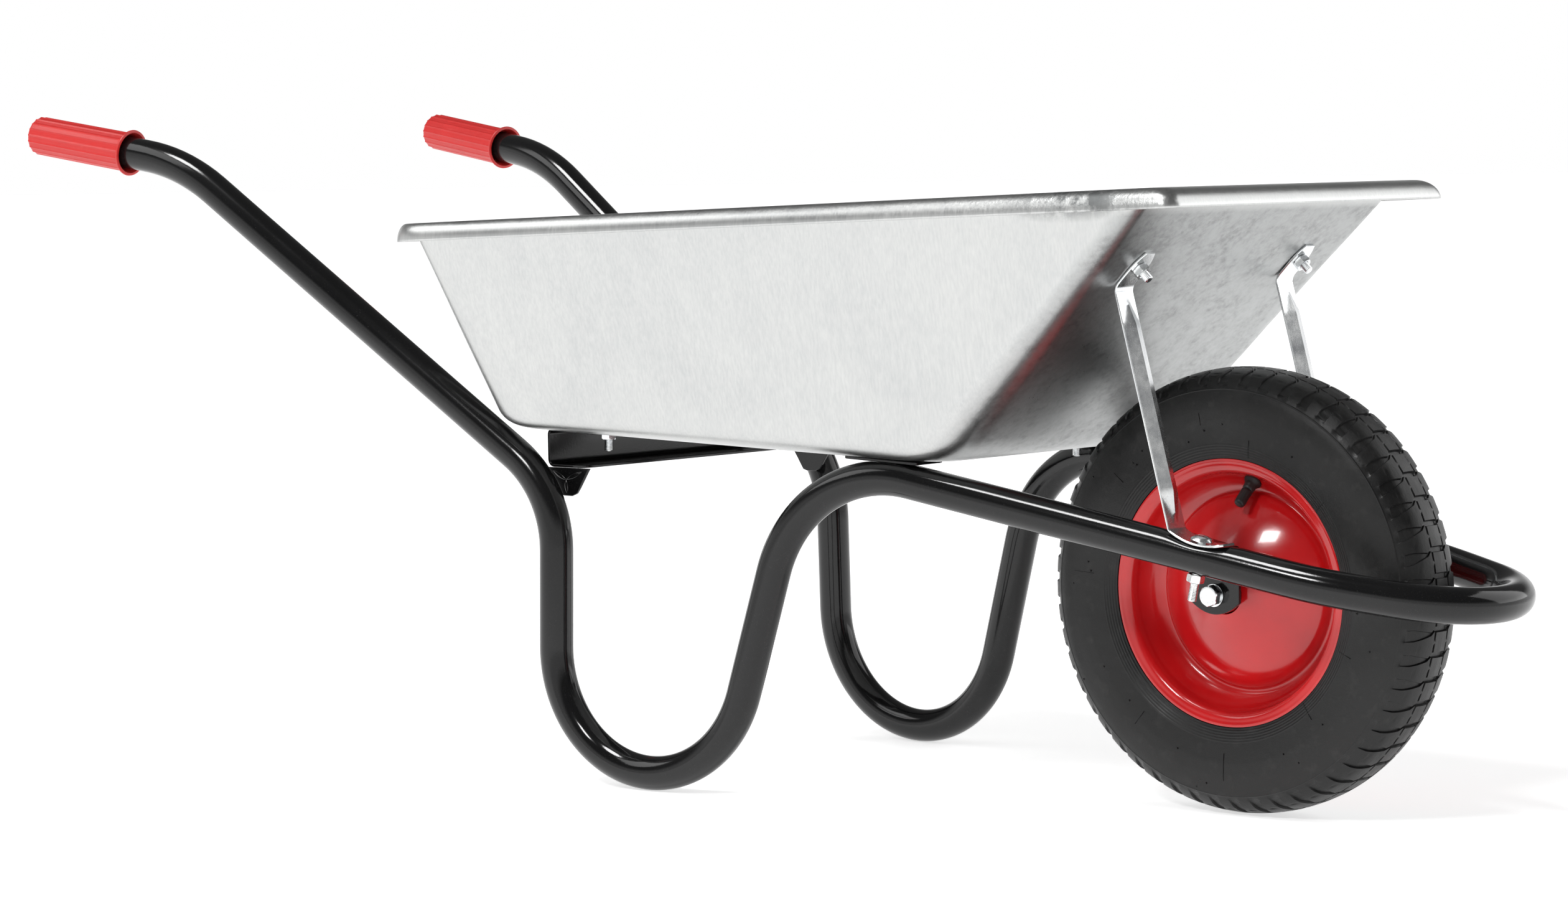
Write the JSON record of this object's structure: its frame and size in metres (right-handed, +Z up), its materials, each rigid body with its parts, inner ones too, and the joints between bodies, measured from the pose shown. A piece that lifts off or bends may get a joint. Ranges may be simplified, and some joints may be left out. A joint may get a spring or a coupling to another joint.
{
  "type": "wheelbarrow",
  "caption": "Builder's wheelbarrow: bent tube frame with integral legs, pressed steel tray on braces, and a pneumatic wheel on a pressed rim.",
  "frame": {"origin": "on the ground, in the middle of the whole barrow's bounding box", "axes": "+X forward to the wheel, +Y to the barrow's left, +Z up"},
  "size_m": [1.5082, 0.6212, 0.6179],
  "materials": {
    "frame_paint": "gloss black paint",
    "galvanised_sheet": "galvanised steel sheet, faintly brushed",
    "zinc_plate": "bright zinc plating",
    "rim_paint": "gloss red paint",
    "grip_plastic": "soft red plastic",
    "tyre_rubber": "moulded black rubber",
    "valve_rubber": "smooth black rubber",
    "bush_nylon": "off-white nylon"
  },
  "bodies": {
    "frame": {"axle_bolt": "zinc_plate", "axle_nut": "zinc_plate", "axle_sleeve": "zinc_plate", "frame_tube": "frame_paint", "left_axle_bracket": "frame_paint", "left_axle_washer": "zinc_plate", "left_brace": "zinc_plate", "left_brace_foot_bolt": "zinc_plate", "left_brace_foot_nut": "zinc_plate", "left_brace_top_bolt": "zinc_plate", "left_brace_top_nut": "zinc_plate", "left_grip": "grip_plastic", "left_gusset": "frame_paint", "left_tray_front_bolt": "zinc_plate", "left_tray_front_nut": "zinc_plate", "left_tray_lug": "frame_paint", "left_tray_rear_bolt": "zinc_plate", "left_tray_rear_nut": "zinc_plate", "rear_cross_member": "frame_paint", "right_axle_bracket": "frame_paint", "right_axle_washer": "zinc_plate", "right_brace": "zinc_plate", "right_brace_foot_bolt": "zinc_plate", "right_brace_foot_nut": "zinc_plate", "right_brace_top_bolt": "zinc_plate", "right_brace_top_nut": "zinc_plate", "right_grip": "grip_plastic", "right_gusset": "frame_paint", "right_tray_front_bolt": "zinc_plate", "right_tray_front_nut": "zinc_plate", "right_tray_lug": "frame_paint", "right_tray_rear_bolt": "zinc_plate", "right_tray_rear_nut": "zinc_plate", "tray": "galvanised_sheet"},
    "wheel": {"tyre": "tyre_rubber", "inner_tube": "valve_rubber", "left_rim_half": "rim_paint", "right_rim_half": "rim_paint", "hub_tube": "rim_paint", "left_hub_bush": "bush_nylon", "right_hub_bush": "bush_nylon", "valve_stem": "valve_rubber", "valve_cap": "valve_rubber"}
  },
  "joints": [
    {"name": "wheel_spin", "type": "hinge", "parent": "frame", "child": "wheel", "pos_m": [0.49075, 0, 0.1925], "axis": [0, 1, 0], "continuous": true}
  ]
}
